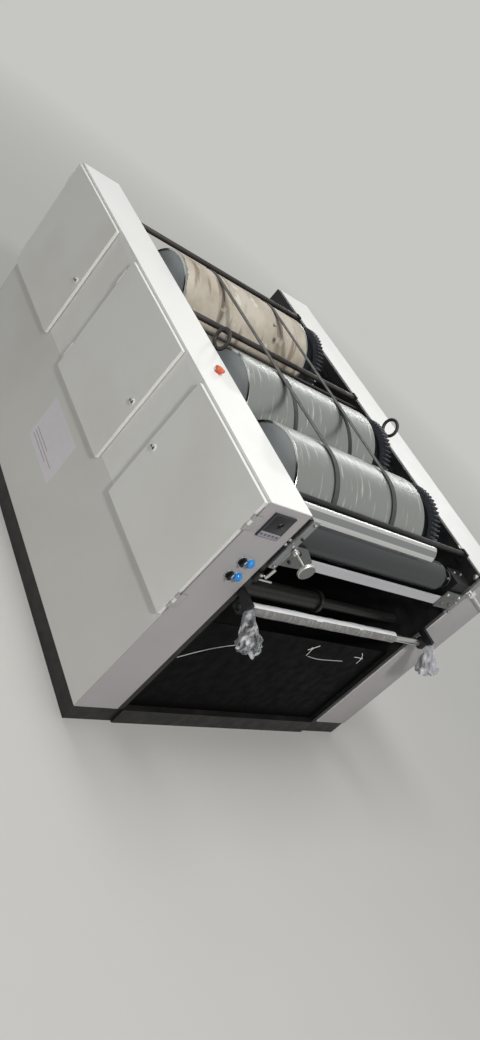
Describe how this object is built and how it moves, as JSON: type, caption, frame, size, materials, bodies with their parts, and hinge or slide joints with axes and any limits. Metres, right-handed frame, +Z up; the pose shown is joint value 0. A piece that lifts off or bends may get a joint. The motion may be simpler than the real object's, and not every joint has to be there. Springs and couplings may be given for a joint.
{
  "type": "flexographic printing press",
  "caption": "Flexographic printing press with steel drums between two side housings, hinged doors, gear train, belts and an infeed roller with guide bars.",
  "frame": {"origin": "on the floor, under the middle of the press's box", "axes": "+Z up, +X along the press towards the infeed end, +Y across, from the housing with doors to the closed one"},
  "size_m": [2.1862, 1.546, 1.1914],
  "materials": {
    "white_powder_coat": "semi-gloss powder coat, light grey-white",
    "black_paint": "black machine paint",
    "polished_steel": "ground and polished steel",
    "blackened_gear": "blackened steel with a film of oil",
    "belt_rubber": "black flat belt",
    "roller_rubber": "ground dark grey rubber covering",
    "aluminium": "bright drawn aluminium",
    "grey_paint": "light grey paint",
    "zinc_steel": "zinc plated steel",
    "bright_steel": "bright turned steel",
    "kraft_paper": "cream wrapping paper, torn and taped",
    "clear_film": "crumpled clear plastic film",
    "screen_plastic": "dark instrument housing",
    "control_plastic": "blue and black operating elements",
    "stop_red": "red mushroom head",
    "dark_roll": "dark brown-black roll"
  },
  "bodies": {
    "frame": {"base_rails": "black_paint", "base_beams": "black_paint", "side_plate_near": "black_paint", "side_plate_far": "black_paint", "housing_lower_sheet": "white_powder_coat", "housing_posts": "white_powder_coat", "housing_end_rear": "white_powder_coat", "housing_end_front": "white_powder_coat", "housing_cap_near": "white_powder_coat", "housing_far": "white_powder_coat", "housing_cap_far": "white_powder_coat", "door_hinges": "zinc_steel", "drum_bearings_near": "black_paint", "drum_bearings_far": "black_paint", "idler_studs": "zinc_steel", "belts": "belt_rubber", "tie_bars": "black_paint", "tie_bar_mounts": "black_paint", "guide_rod": "black_paint", "lifting_rings": "black_paint", "infeed_slides": "zinc_steel", "roller_guard": "aluminium", "infeed_bar": "grey_paint", "shaft_arms": "black_paint", "far_lever": "bright_steel", "closing_panels": "black_paint", "operator_screen": "screen_plastic", "control_buttons": "control_plastic", "emergency_stop": "stop_red", "wrapped_bundle_near": "clear_film", "wrapped_bundle_far": "clear_film"},
    "door_1": {"door_1": "white_powder_coat"},
    "door_2": {"door_2": "white_powder_coat"},
    "door_3": {"door_3": "white_powder_coat"},
    "drum_1": {"drum_1": "polished_steel", "drum_shaft_1": "bright_steel", "drum_gear_1": "blackened_gear", "drum_1_wrap": "kraft_paper"},
    "drum_2": {"drum_2": "polished_steel", "drum_shaft_2": "bright_steel", "drum_gear_2": "blackened_gear"},
    "drum_3": {"drum_3": "polished_steel", "drum_shaft_3": "bright_steel", "drum_gear_3": "blackened_gear"},
    "idler_small": {"idler_gear_small": "blackened_gear"},
    "idler_large": {"idler_gear_large": "blackened_gear"},
    "infeed_roller": {"infeed_roller": "roller_rubber"},
    "lower_shaft": {"lower_shaft": "bright_steel", "lower_shaft_film": "clear_film"},
    "inner_shaft": {"inner_shaft": "dark_roll"},
    "adjusting_knob": {"adjusting_knob": "bright_steel"}
  },
  "joints": [
    {"name": "door_1_hinge", "type": "hinge", "parent": "frame", "child": "door_1", "pos_m": [-1.08758, -0.76, 0.833], "axis": [0, 0, -1], "range_deg": [0, 110]},
    {"name": "door_2_hinge", "type": "hinge", "parent": "frame", "child": "door_2", "pos_m": [-0.33658, -0.76, 0.833], "axis": [0, 0, -1], "range_deg": [0, 110]},
    {"name": "door_3_hinge", "type": "hinge", "parent": "frame", "child": "door_3", "pos_m": [0.92142, -0.76, 0.833], "axis": [0, 0, 1], "range_deg": [0, 110]},
    {"name": "drum_2_spin", "type": "hinge", "parent": "frame", "child": "drum_2", "pos_m": [0.18442, -0.148, 0.961], "axis": [0, 1, 0], "continuous": true},
    {"name": "drum_1_spin", "type": "hinge", "parent": "frame", "child": "drum_1", "pos_m": [-0.47558, -0.148, 0.961], "axis": [0, 1, 0], "continuous": true},
    {"name": "drum_3_spin", "type": "hinge", "parent": "frame", "child": "drum_3", "pos_m": [0.58942, -0.148, 0.961], "axis": [0, 1, 0], "continuous": true},
    {"name": "idler_small_spin", "type": "hinge", "parent": "frame", "child": "idler_small", "pos_m": [0.38692, -0.148, 0.75621], "axis": [0, 1, 0], "continuous": true},
    {"name": "idler_large_spin", "type": "hinge", "parent": "frame", "child": "idler_large", "pos_m": [-0.14558, -0.148, 0.81712], "axis": [0, 1, 0], "continuous": true},
    {"name": "infeed_roller_spin", "type": "hinge", "parent": "frame", "child": "infeed_roller", "pos_m": [0.86242, -0.148, 0.99], "axis": [0, 1, 0], "continuous": true},
    {"name": "lower_shaft_spin", "type": "hinge", "parent": "frame", "child": "lower_shaft", "pos_m": [0.96042, -0.148, 0.719], "axis": [0, 1, 0], "continuous": true},
    {"name": "inner_shaft_spin", "type": "hinge", "parent": "frame", "child": "inner_shaft", "pos_m": [0.79542, -0.148, 0.665], "axis": [0, 1, 0], "continuous": true},
    {"name": "adjusting_knob_turn", "type": "hinge", "parent": "frame", "child": "adjusting_knob", "pos_m": [0.96942, -0.513, 0.972], "axis": [1, 0, 0], "continuous": true}
  ],
  "couplings": [
    {"joint": "drum_1_spin", "follows": "drum_2_spin", "ratio": 1},
    {"joint": "drum_3_spin", "follows": "drum_2_spin", "ratio": 1},
    {"joint": "idler_small_spin", "follows": "drum_2_spin", "ratio": -2},
    {"joint": "idler_large_spin", "follows": "drum_2_spin", "ratio": -1.1429}
  ]
}
